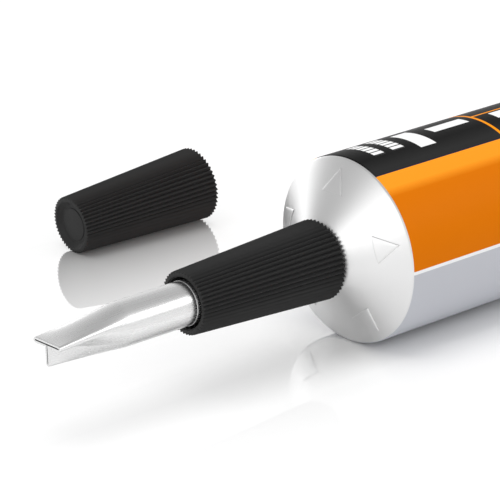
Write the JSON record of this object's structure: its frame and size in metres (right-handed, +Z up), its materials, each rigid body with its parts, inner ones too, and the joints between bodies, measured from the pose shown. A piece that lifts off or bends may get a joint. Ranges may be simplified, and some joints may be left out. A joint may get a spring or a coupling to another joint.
{
  "type": "cement tube",
  "caption": "Collapsible metal cement tube lying on its side, with a T-crimped spreader spout held by a ribbed screw collar, and its ribbed storage cap beside it.",
  "frame": {"origin": "on the floor that the tube and its loose cap lie on, in the middle of the ground they cover", "axes": "+X along the tube's axis, from the spout towards the folded tail; +Y from the tube towards the loose cap; +Z up"},
  "size_m": [0.2388, 0.116, 0.038],
  "materials": {
    "printed_tube": "semi-gloss printed lacquer on aluminium",
    "spout_metal": "bright satin",
    "collar_plastic": "moulded, low sheen",
    "cap_plastic": "moulded, low sheen"
  },
  "bodies": {
    "tube": {"tube": "printed_tube", "storage_cap": "cap_plastic"},
    "spout": {"spout": "spout_metal"},
    "collar": {"collar": "collar_plastic"}
  },
  "joints": [
    {"name": "spout_lift", "type": "slide", "parent": "tube", "child": "spout", "axis": [-1, 0, 0], "range_m": [0, 0.00825]},
    {"name": "collar_turn", "type": "hinge", "parent": "spout", "child": "collar", "pos_m": [-0.07028, -0.02865, 0.019], "axis": [-1, 0, 0], "range_deg": [0, 1980]}
  ],
  "couplings": [
    {"joint": "collar_turn", "follows": "spout_lift", "rad_per_m": 4188.8}
  ]
}
